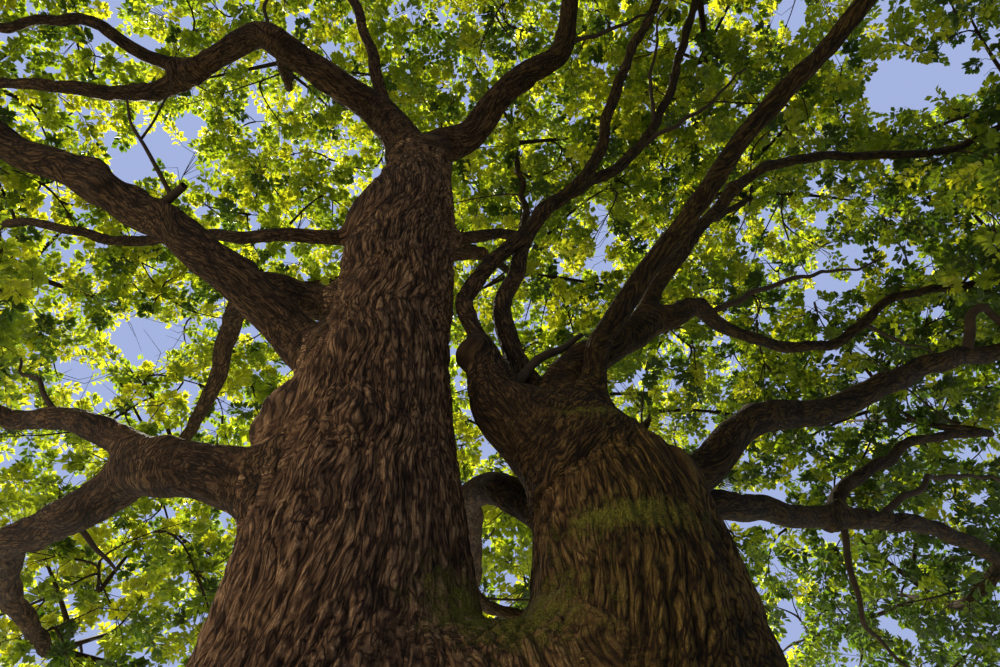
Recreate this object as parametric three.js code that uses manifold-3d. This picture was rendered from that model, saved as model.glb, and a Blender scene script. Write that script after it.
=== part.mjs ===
import * as THREE from 'three';
import Module from 'manifold-3d';

// A very old oak: a massive foot forks low into two stems, boughs spread from them on every side,
// and a mass of foliage grows at the tip of each bough.
// Millimetres, +Z up. The flat cut under the trunk lies on Z = 0, centred on the origin.
// Headings turn round Z, from 0 at +X through 90 at +Y. A rise is the angle above level. Both in degrees.

const CLEARANCE = 0.3;        // gap left wherever two parts meet
const FLATNESS = 0.1;         // faces that lie in one plane within this are joined

// The foot: an oval column with root flares, closed by shoulders between the stems.
const FOOT = {
  centreX: -60, halfWidth: 1280, halfDepth: 1120, topDepth: 520, sides: 18,
  flare: 560, flareHeight: 430, flutes: 6, fluteDepth: 0.3, fluteTurn: 0.6,
  levels: [0, 220, 600, 1200, 2300, 2560, 2720], shoulder: 2300, closed: 0.8,
};
const FORK_CUT = 2900;        // level where the stems sit on the trunk

// The stems, each a run of [heading, rise, length] with its girth stated as evenly spaced radii.
const STEMS = [
  {
    name: 'left_stem', start: [-700, 0, 150],
    course: [[180, 87, 1350], [180, 87, 1250], [180, 87, 1250], [80, 87, 1250], [105, 87, 1250],
      [60, 86, 1300]],
    radii: [1000, 890, 785, 655, 560, 475, 465, 445, 290],
  },
  {
    name: 'right_stem', start: [660, 0, 150],
    course: [[0, 88, 1350], [0, 88, 1200], [180, 86, 700], [170, 74, 700]],
    radii: [880, 800, 740, 680, 590, 500, 260],
  },
];
const STEM_SIDES = 12;
const STEM_SPACING = 850;     // distance between the rings of a stem

// Burls: swellings on a limb, placed by the share of its length, with a heading and a radius.
const BURLS = [
  { on: 'left_stem', at: 0.5, heading: 188, out: 470, radius: 270 },
  { on: 'left_stem', at: 0.83, heading: 200, out: 250, radius: 290 },
  { on: 'burl_limb', at: 0.13, heading: 205, out: 95, radius: 125 },
];

// The boughs. Each leaves the axis of another limb at a share of its length and follows its course,
// tapering from its base radius to its tip radius. A mass of foliage with the given reach ends it.
const BOUGHS = [
  {
    name: 'low_left', from: 'left_stem', at: 0.424, base: 175, tip: 80, reach: 2600,
    course: [[201, 3, 600], [167, 16, 850], [143, -1, 750], [143, 5, 1150], [119, 7, 1600], [112, 8, 2150]],
  },
  {
    name: 'low_left_upper', from: 'low_left', at: 0.19, base: 108, tip: 62, reach: 2600,
    course: [[162, 33, 850], [154, 25, 850], [159, 22, 800], [201, 18, 800], [175, 15, 1150]],
  },
  {
    name: 'great_left', from: 'left_stem', at: 0.53, base: 180, tip: 125, reach: 2700,
    course: [[181, 45, 900], [199, 36, 350], [204, 40, 400], [199, 35, 450], [193, 33, 600],
      [192, 29, 850], [185, 27, 950], [225, 15, 1500], [219, 21, 1350]],
  },
  {
    name: 'great_left_front', from: 'great_left', at: 0.78, base: 80, tip: 48, reach: 2500,
    course: [[279, -9, 900], [279, -5, 1200], [282, -21, 1100]],
  },
  {
    name: 'back_left', from: 'left_stem', at: 0.671, base: 145, tip: 70, reach: 2800,
    course: [[173, 16, 800], [167, 38, 500], [131, 26, 1050], [119, 8, 1950], [123, 11, 2500]],
  },
  {
    name: 'thin_left', from: 'left_stem', at: 0.811, base: 68, tip: 52, reach: 2500,
    course: [[180, 1, 1100], [160, 27, 1300], [160, 19, 1100], [166, 28, 1400], [164, 25, 1700],
      [124, 18, 1000]],
  },
  {
    name: 'crown_left', from: 'left_stem', at: 0.988, base: 200, tip: 60, reach: 2500,
    course: [[211, 53, 800], [212, 19, 900], [209, 15, 700], [165, 4, 400], [154, 6, 1350],
      [173, 21, 1500], [173, 20, 1200], [160, 36, 800]],
  },
  {
    name: 'crown_left_upper', from: 'crown_left', at: 0.455, base: 78, tip: 55, reach: 2400,
    course: [[192, 18, 550], [199, 27, 800], [175, 25, 850], [169, 22, 1000], [240, 20, 950]],
  },
  {
    name: 'crown_left_back', from: 'crown_left', at: 0.3, base: 56, tip: 44, reach: 3200,
    course: [[106, 42, 1200], [130, 66, 1350], [135, 62, 1200]],
  },
  {
    name: 'crown_upright', from: 'crown_left', at: 0.09, base: 80, tip: 48, reach: 3000,
    course: [[218, 62, 300], [229, 68, 1100], [215, 68, 1150], [225, 64, 1450], [233, 61, 1050]],
  },
  {
    name: 'crown_right', from: 'left_stem', at: 0.988, base: 200, tip: 75, reach: 2800,
    course: [[3, 74, 600], [352, 34, 500], [326, 46, 800], [342, 39, 750], [301, 61, 550],
      [274, 53, 900], [252, 14, 2050]],
  },
  {
    name: 'behind_left', from: 'left_stem', at: 0.794, base: 62, tip: 46, reach: 3300,
    course: [[12, 26, 700], [46, 50, 700], [74, 54, 1650], [84, 72, 1900], [104, 81, 1400]],
  },
  {
    name: 'back_high', from: 'left_stem', at: 0.86, base: 95, tip: 55, reach: 3000,
    course: [[80, 42, 1150], [66, 45, 1700], [69, 40, 1700]],
  },
  {
    name: 'back_left_high', from: 'back_high', at: 0.62, base: 62, tip: 46, reach: 2800,
    course: [[151, 22, 1650], [147, 25, 1450], [154, 19, 950]],
  },
  {
    name: 'back_mid', from: 'left_stem', at: 0.564, base: 105, tip: 55, reach: 2400,
    course: [[96, 21, 1500], [99, 27, 1800], [97, 26, 1800]],
  },
  {
    name: 'burl_limb', from: 'right_stem', at: 0.868, base: 290, tip: 55, reach: 3000, swelling: 0.16, slim: 75,
    course: [[191, 39, 850], [194, 68, 400], [161, 77, 600], [29, 79, 500], [24, 62, 950],
      [359, 59, 1450], [323, 68, 1950], [332, 65, 1350], [296, 57, 1850]],
  },
  {
    name: 'middle_limb', from: 'right_stem', at: 0.954, base: 84, tip: 54, reach: 3300,
    course: [[183, 58, 750], [155, 79, 700], [53, 79, 600], [21, 73, 1300], [13, 53, 1800],
      [357, 63, 1600], [334, 69, 3000], [64, 31, 750]],
  },
  {
    name: 'long_bough', from: 'right_stem', at: 0.967, base: 82, tip: 74, reach: 2700,
    course: [[300, 59, 350], [299, 68, 350], [325, 50, 650], [331, 43, 850], [322, 45, 700],
      [329, 35, 850], [325, 39, 700], [303, 33, 2600]],
  },
  {
    name: 'front_mid', from: 'long_bough', at: 0.76, base: 62, tip: 45, reach: 2600,
    course: [[208, -16, 1350], [252, 18, 1300], [255, 10, 1200]],
  },
  {
    name: 'upper_right', from: 'right_stem', at: 0.934, base: 130, tip: 50, reach: 2700, swelling: 0.42, slim: 64,
    course: [[193, 65, 500], [357, 57, 350], [10, 40, 750], [23, 39, 900], [53, 17, 650],
      [27, 19, 1700], [6, 39, 1400], [13, 27, 1050], [16, 24, 1500]],
  },
  {
    name: 'upper_right_up', from: 'upper_right', at: 0.175, base: 66, tip: 48, reach: 3000,
    course: [[1, 66, 650], [4, 58, 1100], [1, 51, 1250], [12, 36, 1250], [15, 27, 1650], [13, 27, 1100],
      [3, 33, 1400]],
  },
  {
    name: 'back_far_right', from: 'upper_right_up', at: 0.3, base: 54, tip: 45, reach: 3000,
    course: [[72, 45, 1800], [41, 52, 1900], [45, 52, 1400]],
  },
  {
    name: 'right_bough', from: 'right_stem', at: 0.803, base: 128, tip: 84, reach: 2500,
    course: [[15, 35, 850], [11, 45, 650], [24, 25, 700], [18, 29, 800], [17, 30, 1650], [21, 25, 1150],
      [330, 19, 1350]],
  },
  {
    name: 'lower_right', from: 'right_stem', at: 0.75, base: 106, tip: 74, reach: 2900,
    course: [[32, 33, 1050], [38, 17, 1750], [34, 16, 1550], [38, 11, 1500], [42, 6, 1100], [79, 4, 1050]],
  },
  {
    name: 'lower_right_spur', from: 'lower_right', at: 0.36, base: 66, tip: 48, reach: 2600,
    course: [[25, 53, 500], [30, 32, 1000], [27, 34, 1200], [28, 23, 2100], [86, 41, 1000]],
  },
  {
    name: 'back_bough', from: 'right_stem', at: 0.75, base: 135, tip: 68, reach: 2600,
    course: [[146, 39, 950], [122, 32, 600], [97, 18, 900], [88, 9, 2650], [46, 5, 950]],
  },
  {
    name: 'back_right', from: 'right_stem', at: 0.835, base: 105, tip: 58, reach: 3300,
    course: [[85, 35, 1500], [69, 40, 2900], [65, 44, 2650]],
  },
  {
    name: 'front_low_right', from: 'right_stem', at: 0.447, base: 130, tip: 60, reach: 2600,
    course: [[337, 2, 1300], [327, 15, 1350], [315, 50, 1950], [309, 42, 1900]],
  },
];
const THICK_BOUGH = 130;      // a base radius above this gets six sides, any other five
const BOUGH_SPACING = 1350;
const COLLAR = 0.25;          // swelling of a bough where it leaves its parent
const COLLAR_LENGTH = 1.6;    // its length as a share of the base radius
const TAPER = 1.5;            // above 1, a bough thins sooner near its base
const MASS_FLATNESS = 0.78;   // height of a mass against its reach
const MASS_AHEAD = 0.5;       // how far past the tip of the bough the centre of a mass lies
const MASS_LIFT = 0.16;       // how far above its stem's line that centre lies

// The growth rule of a mass: one stem, branches turned by the golden angle, leaves along each branch.
// A leaf stands for a whole spray, so it is far larger than life.
const BRANCHES = 6;
const STEM_JOINTS = 3;        // branches leave the stem of a mass at these joints in turn
const GOLDEN_ANGLE = 137.5;
const LOWEST_RISE = -35;      // rise of the first branch; the last one stands almost upright
const BRANCH_REACH = 0.6;     // shares of the reach of the mass: how far branches go, and how thick they are
const BRANCH_RADIUS = 0.012;
const BRANCH_TAPER = 0.25;
const LEAF_LENGTH = 0.38;
const LEAF_WIDTH = 0.6;       // shares of the length of the leaf
const LEAF_THICKNESS = 0.045;
const LEAF_SUNK = 0.2;
const LEAF_TILT = 55;
const LEAF_PLACES = [[0.55, 58], [0.8, -58], [1, 0]]; // share of the branch, turn from its direction
const FIRST_SEED = 1847;
const SEED_STEP = 97;

// How leaves and twigs keep clear of the limbs and of other masses.
const LIMB_SAMPLE = 120;
const LIMB_GAP = 40;
const SPACE_GAP = 0.03;

const BARK_BROWN = 0x5a4634;
const LEAF_GREEN = 0x6f8f2a;

const wasm = await Module();
wasm.setup();

const radians = THREE.MathUtils.degToRad;

function direction(heading, rise) {
  const level = Math.cos(radians(rise));
  return new THREE.Vector3(
    level * Math.cos(radians(heading)),
    level * Math.sin(radians(heading)),
    Math.sin(radians(rise)),
  );
}

// Repeatable random numbers from 0 to 1.
function randomStream(seed) {
  let state = seed;
  return () => {
    state = (state * 16807) % 2147483647;
    return state / 2147483647;
  };
}

function solid(points, triangles) {
  const mesh = new wasm.Mesh({
    numProp: 3,
    vertProperties: Float32Array.from(points.flatMap((p) => [p.x, p.y, p.z])),
    triVerts: Uint32Array.from(triangles.flat()),
  });
  return new wasm.Manifold(mesh);
}

// A closed skin over rings of equal count, each wound counterclockwise as seen from the last ring.
function loft(rings) {
  const sides = rings[0].length;
  const triangles = [];
  for (let r = 0; r + 1 < rings.length; r += 1) {
    for (let i = 0; i < sides; i += 1) {
      const a = r * sides + i;
      const b = r * sides + ((i + 1) % sides);
      triangles.push([a, b, b + sides], [a, b + sides, a + sides]);
    }
  }
  const last = (rings.length - 1) * sides;
  for (let i = 1; i + 1 < sides; i += 1) {
    triangles.push([0, i + 1, i], [last, last + i, last + i + 1]);
  }
  return solid(rings.flat(), triangles);
}

// A tapering tube along a curve, thicker and longer at both ends by an extra.
function tube(curve, radiusAt, stations, sides, extra = 0) {
  const frames = curve.computeFrenetFrames(stations - 1, false);
  const rings = frames.tangents.map((tangent, k) => {
    const u = k / (stations - 1);
    const beyond = Math.trunc(2 * u - 1) * extra;
    const centre = curve.getPointAt(u).addScaledVector(tangent, beyond);
    return Array.from({ length: sides }, (_, i) => {
      const angle = (2 * Math.PI * i) / sides;
      return centre.clone()
        .addScaledVector(frames.normals[k], (radiusAt(u) + extra) * Math.cos(angle))
        .addScaledVector(frames.binormals[k], (radiusAt(u) + extra) * Math.sin(angle));
    });
  });
  return loft(rings);
}

// The curve through the corners of a course.
function coursePath(start, course) {
  const points = [start];
  for (const [heading, rise, length] of course) {
    points.push(points.at(-1).clone().addScaledVector(direction(heading, rise), length));
  }
  return new THREE.CatmullRomCurve3(points, false, 'centripetal');
}

function between(values, u) {
  const place = u * (values.length - 1);
  const k = Math.min(Math.floor(place), values.length - 2);
  return THREE.MathUtils.lerp(values[k], values[k + 1], place - k);
}

function stemLimb({ name, start, course, radii }) {
  const curve = coursePath(new THREE.Vector3(...start), course);
  const length = curve.getLength();
  const stations = Math.ceil(length / STEM_SPACING) + 2;
  return { name, curve, length, stations, sides: STEM_SIDES, radiusAt: (u) => between(radii, u) };
}

// A bough thins towards its tip; one with a swelling keeps its thick base for that share of its length
// and is slim beyond it.
function boughLimb({ name, at, base, tip, course, swelling = 0, slim = base }, parent) {
  const curve = coursePath(parent.curve.getPointAt(at), course);
  const length = curve.getLength();
  const buried = parent.radiusAt(at);
  const radiusAt = (u) => {
    const collar = 1 + COLLAR * Math.exp(-Math.max(0, u * length - buried) / (COLLAR_LENGTH * base));
    const bulk = swelling > 0 ? (base - slim) * THREE.MathUtils.smoothstep(1 - u / swelling, 0, 0.8) : 0;
    return (tip + (slim - tip) * (1 - u) ** TAPER) * (swelling > 0 ? 1 : collar) + bulk;
  };
  const stations = Math.ceil(length / BOUGH_SPACING) + 2;
  return { name, curve, length, stations, sides: base > THICK_BOUGH ? 6 : 5, radiusAt };
}

function limbBody(limb, extra) {
  let body = tube(limb.curve, limb.radiusAt, limb.stations, limb.sides, extra);
  for (const burl of BURLS.filter(({ on }) => on === limb.name)) {
    const centre = limb.curve.getPointAt(burl.at).addScaledVector(direction(burl.heading, 0), burl.out);
    body = body.add(wasm.Manifold.sphere(burl.radius + extra, 8).translate(centre.toArray()));
  }
  return body;
}

// One ring of the foot: an oval that widens towards the ground, where flutes part the root flares.
function footRing(z, extra) {
  const top = FOOT.levels.at(-1);
  const flare = Math.exp(-z / FOOT.flareHeight);
  const rise = Math.max(0, (z - FOOT.shoulder) / (top - FOOT.shoulder));
  const closing = Math.sqrt(1 - FOOT.closed * rise * rise);
  const depth = THREE.MathUtils.lerp(FOOT.halfDepth, FOOT.topDepth, THREE.MathUtils.smoothstep(z, 0, top));
  return Array.from({ length: FOOT.sides }, (_, i) => {
    const angle = (2 * Math.PI * i) / FOOT.sides;
    const flute = 1 + FOOT.fluteDepth * flare * Math.cos(FOOT.flutes * angle + FOOT.fluteTurn);
    const spread = FOOT.flare * flare * flute + extra;
    const x = FOOT.centreX + (FOOT.halfWidth * closing + spread) * Math.cos(angle);
    return new THREE.Vector3(x, (depth * closing + spread) * Math.sin(angle), z);
  });
}

// The foot and the lower ends of the stems in one, cut flat at the ground and where the stems part.
function trunkBody(stems, extra) {
  const foot = loft(FOOT.levels.map((z) => footRing(z, extra)));
  return stems.reduce((body, stem) => body.add(limbBody(stem, extra)), foot)
    .trimByPlane([0, 0, -1], -FORK_CUT - extra).trimByPlane([0, 0, 1], 0);
}

function largestPiece(body) {
  return body.decompose().reduce((best, piece) => (piece.volume() > best.volume() ? piece : best));
}

const limbs = new Map(STEMS.map((stem) => [stem.name, stemLimb(stem)]));
for (const bough of BOUGHS) {
  limbs.set(bough.name, boughLimb(bough, limbs.get(bough.from)));
}
const stems = STEMS.map(({ name }) => limbs.get(name));

const bodies = new Map([['trunk', trunkBody(stems, 0)]]);
const swollen = [trunkBody(stems, CLEARANCE)];
for (const limb of limbs.values()) {
  let body = limbBody(limb, 0);
  for (const other of swollen) {
    body = body.subtract(other);
  }
  bodies.set(limb.name, largestPiece(body));
  swollen.push(limbBody(limb, CLEARANCE));
}

// Points every so often along a limb, with its radius there.
function samplesOf(limb) {
  const count = Math.ceil(limb.length / LIMB_SAMPLE);
  return Array.from({ length: count + 1 }, (_, k) => {
    return { point: limb.curve.getPointAt(k / count), radius: limb.radiusAt(k / count) };
  });
}

// The space of a mass: an upright ellipsoid a little ahead of and above the tip of its bough.
function massAt(bough, index) {
  const { curve, radiusAt } = limbs.get(bough.name);
  const tip = curve.getPointAt(1);
  const ahead = curve.getTangentAt(1);
  const radii = new THREE.Vector3(bough.reach, bough.reach, bough.reach * MASS_FLATNESS);
  const centre = tip.clone().addScaledVector(ahead, bough.reach * MASS_AHEAD);
  centre.z += bough.reach * MASS_LIFT;
  return { name: `${bough.name}_leaves`, tip, ahead, centre, radii, girth: radiusAt(1), index };
}

function depthIn(mass, point) {
  return point.clone().sub(mass.centre).divide(mass.radii).length();
}

// True where a point lies in the space of this mass and deeper in it than in that of any other.
function owns(mass, point) {
  const depth = depthIn(mass, point);
  return depth < 1 && masses.every((other) => other === mass || depthIn(other, point) > depth + SPACE_GAP);
}

function distanceToSegment(point, from, to) {
  return new THREE.Line3(from, to).closestPointToPoint(point, true, new THREE.Vector3()).distanceTo(point);
}

function twigClear(mass, { from, to, base }) {
  const corners = [0.5, 1].map((share) => from.clone().lerp(to, share));
  const near = (sample) => distanceToSegment(sample.point, from, to) < sample.radius + base + LIMB_GAP;
  return corners.every((corner) => owns(mass, corner)) && !obstacles(mass).some(near);
}

// A leaf is an eight-faced blade: root, tip, two edges and a slight thickness halfway.
function leafCorners({ root, along, across, normal, length }) {
  const middle = root.clone().addScaledVector(along, length * 0.42);
  const half = length * LEAF_WIDTH * 0.5;
  const thick = length * LEAF_THICKNESS * 0.5;
  return [
    root,
    root.clone().addScaledVector(along, length),
    middle.clone().addScaledVector(across, half),
    middle.clone().addScaledVector(across, -half),
    middle.clone().addScaledVector(normal, thick),
    middle.clone().addScaledVector(normal, -thick),
  ];
}

function leafClear(mass, leaf) {
  const inBlade = ({ point, radius }) => {
    const offset = point.clone().sub(leaf.root);
    const margin = radius + LIMB_GAP;
    const forward = offset.dot(leaf.along);
    return forward > -margin && forward < leaf.length + margin
      && Math.abs(offset.dot(leaf.across)) < leaf.length * LEAF_WIDTH * 0.5 + margin
      && Math.abs(offset.dot(leaf.normal)) < leaf.length * LEAF_THICKNESS * 0.5 + margin;
  };
  return leafCorners(leaf).every((corner) => owns(mass, corner)) && !obstacles(mass).some(inBlade);
}

// Every limb sample that could come near the mass.
function obstacles(mass) {
  mass.obstacles ??= samples.filter(({ point }) => depthIn(mass, point) < 1.4);
  return mass.obstacles;
}

// One leaf at a share of a twig, turned from the twig's direction by an angle in degrees.
function leafOn(twig, share, turn, length, random) {
  const forward = twig.to.clone().sub(twig.from).normalize();
  const tilt = direction(360 * random(), 90 - LEAF_TILT * random());
  const side = new THREE.Vector3().crossVectors(tilt, forward).normalize();
  const flat = new THREE.Vector3().crossVectors(forward, side).normalize();
  const along = forward.clone().applyAxisAngle(flat, radians(turn));
  const across = new THREE.Vector3().crossVectors(flat, along);
  const sunk = turn === 0 ? -LEAF_SUNK * length : 0;
  const root = twig.from.clone().lerp(twig.to, share).addScaledVector(along, sunk);
  return { root, along, across, normal: flat, length };
}

// The growth rule: the stem runs from the bough's tip to the far side of the centre, branches leave
// it one after another, each turned on by the golden angle, and leaves stand along each branch.
function growMass(mass) {
  const random = randomStream(FIRST_SEED + SEED_STEP * mass.index);
  const root = mass.tip.clone().addScaledVector(mass.ahead, CLEARANCE);
  const top = mass.centre.clone().add(new THREE.Vector3(0, 0, mass.radii.z * 0.2));
  const bend = root.clone().addScaledVector(mass.ahead, root.distanceTo(top) / 2);
  const stem = new THREE.QuadraticBezierCurve3(root, bend, top);
  const twigs = [];
  const leaves = [];
  const size = mass.radii.x * LEAF_LENGTH;
  for (let k = 0; k < BRANCHES; k += 1) {
    const share = (k + 0.5) / BRANCHES;
    const away = direction(GOLDEN_ANGLE * k + 40 * random(), LOWEST_RISE + (85 - LOWEST_RISE) * share);
    const target = mass.centre.clone()
      .add(away.multiply(mass.radii).multiplyScalar(BRANCH_REACH + 0.1 * random()));
    const from = stem.getPointAt((1 + (k % STEM_JOINTS)) / STEM_JOINTS);
    const base = mass.radii.x * BRANCH_RADIUS;
    const twig = { from, to: target, base, end: base * BRANCH_TAPER };
    const kept = twigClear(mass, twig);
    if (kept) {
      twigs.push(twig);
    }
    for (const [place, turn] of LEAF_PLACES) {
      const leaf = leafOn(twig, place, turn, size, random);
      if (kept && leafClear(mass, leaf)) {
        leaves.push(leaf);
      }
    }
  }
  const crest = leafOn({ from: bend, to: top }, 1, 0, size, random);
  if (leafClear(mass, crest)) {
    leaves.push(crest);
  }
  return { stem, twigs, leaves };
}

function twigBody({ from, to, base, end }) {
  return tube(new THREE.LineCurve3(from, to), (u) => THREE.MathUtils.lerp(base, end, u), 2, 3);
}

function leafBody(leaf) {
  const edges = [[2, 4], [4, 3], [3, 5], [5, 2]];
  const faces = edges.flatMap(([a, b]) => [[0, b, a], [1, a, b]]);
  return solid(leafCorners(leaf), faces);
}

function massBody(mass) {
  const { stem, twigs, leaves } = growMass(mass);
  const stemBody = tube(stem, (u) => mass.girth * (0.95 - 0.55 * u), STEM_JOINTS + 1, 3);
  return wasm.Manifold.union([stemBody, ...twigs.map(twigBody), ...leaves.map(leafBody)]);
}

const samples = [...limbs.values()].flatMap(samplesOf);
const masses = BOUGHS.map(massAt);
for (const mass of masses) {
  bodies.set(mass.name, massBody(mass));
}

function meshOf(name, body) {
  const { vertProperties, triVerts } = body.asOriginal().simplify(FLATNESS).getMesh();
  const geometry = new THREE.BufferGeometry();
  geometry.setAttribute('position', new THREE.BufferAttribute(new Float32Array(vertProperties), 3));
  geometry.setIndex([...triVerts]);
  geometry.computeVertexNormals();
  const color = name.endsWith('_leaves') ? LEAF_GREEN : BARK_BROWN;
  const mesh = new THREE.Mesh(geometry, new THREE.MeshStandardMaterial({ color, flatShading: true }));
  mesh.name = name;
  return mesh;
}

const group = new THREE.Group();
for (const [name, body] of bodies) {
  group.add(meshOf(name, body));
}

export default group;
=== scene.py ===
import math

import bpy
import numpy as np
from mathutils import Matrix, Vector, noise


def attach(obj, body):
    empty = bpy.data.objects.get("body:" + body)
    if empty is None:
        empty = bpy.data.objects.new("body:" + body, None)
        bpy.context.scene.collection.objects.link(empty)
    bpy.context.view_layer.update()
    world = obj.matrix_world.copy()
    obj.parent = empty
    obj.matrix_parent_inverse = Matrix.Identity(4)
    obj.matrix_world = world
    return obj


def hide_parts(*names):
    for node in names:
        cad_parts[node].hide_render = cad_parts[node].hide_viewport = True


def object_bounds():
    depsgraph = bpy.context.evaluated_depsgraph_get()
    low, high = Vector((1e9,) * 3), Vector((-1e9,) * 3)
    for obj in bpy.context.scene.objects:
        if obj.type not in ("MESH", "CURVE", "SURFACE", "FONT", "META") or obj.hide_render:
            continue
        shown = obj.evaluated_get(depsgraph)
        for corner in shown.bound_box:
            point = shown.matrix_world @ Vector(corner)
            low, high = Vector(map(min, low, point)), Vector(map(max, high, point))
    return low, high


# A very old oak seen from close to its foot: ridged bark on the foot, two stems and their boughs,
# and masses of fine branches, twigs and leaves that grow on from the tips of the boughs.
# Metres, +Z up. Headings turn round Z, from 0 at +X through 90 at +Y. A rise is the angle above level.

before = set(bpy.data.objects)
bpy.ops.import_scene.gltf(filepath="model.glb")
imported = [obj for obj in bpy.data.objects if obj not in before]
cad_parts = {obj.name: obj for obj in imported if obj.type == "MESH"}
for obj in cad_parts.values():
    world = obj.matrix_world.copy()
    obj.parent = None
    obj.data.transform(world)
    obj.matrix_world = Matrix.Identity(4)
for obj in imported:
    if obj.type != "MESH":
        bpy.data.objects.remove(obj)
cad_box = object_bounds()

MM = 0.001

# The foot: an oval column with root flares, closed by shoulders between the stems. Millimetres.
FOOT = dict(
    centre_x=-60, half_width=1280, half_depth=1120, top_depth=520,
    flare=560, flare_height=430, flutes=6, flute_depth=0.3, flute_turn=0.6,
    top=2720, shoulder=2300,
)

# The stems: start, course of (heading, rise, length) and evenly spaced radii. Millimetres.
STEMS = {
    "left_stem": dict(
        start=(-700, 0, 150),
        course=[(180, 87, 1350), (180, 87, 1250), (180, 87, 1250), (80, 87, 1250), (105, 87, 1250),
                (60, 86, 1300)],
        radii=[1000, 890, 785, 655, 560, 475, 465, 445, 290],
    ),
    "right_stem": dict(
        start=(660, 0, 150),
        course=[(0, 88, 1350), (0, 88, 1200), (180, 86, 700), (170, 74, 700)],
        radii=[880, 800, 740, 680, 590, 500, 260],
    ),
}

# Burls: limb, share of its length, heading, distance out from the axis, radius. Millimetres.
BURLS = [
    ("left_stem", 0.5, 188, 470, 270),
    ("left_stem", 0.83, 200, 250, 290),
    ("burl_limb", 0.13, 205, 95, 125),
]

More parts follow.
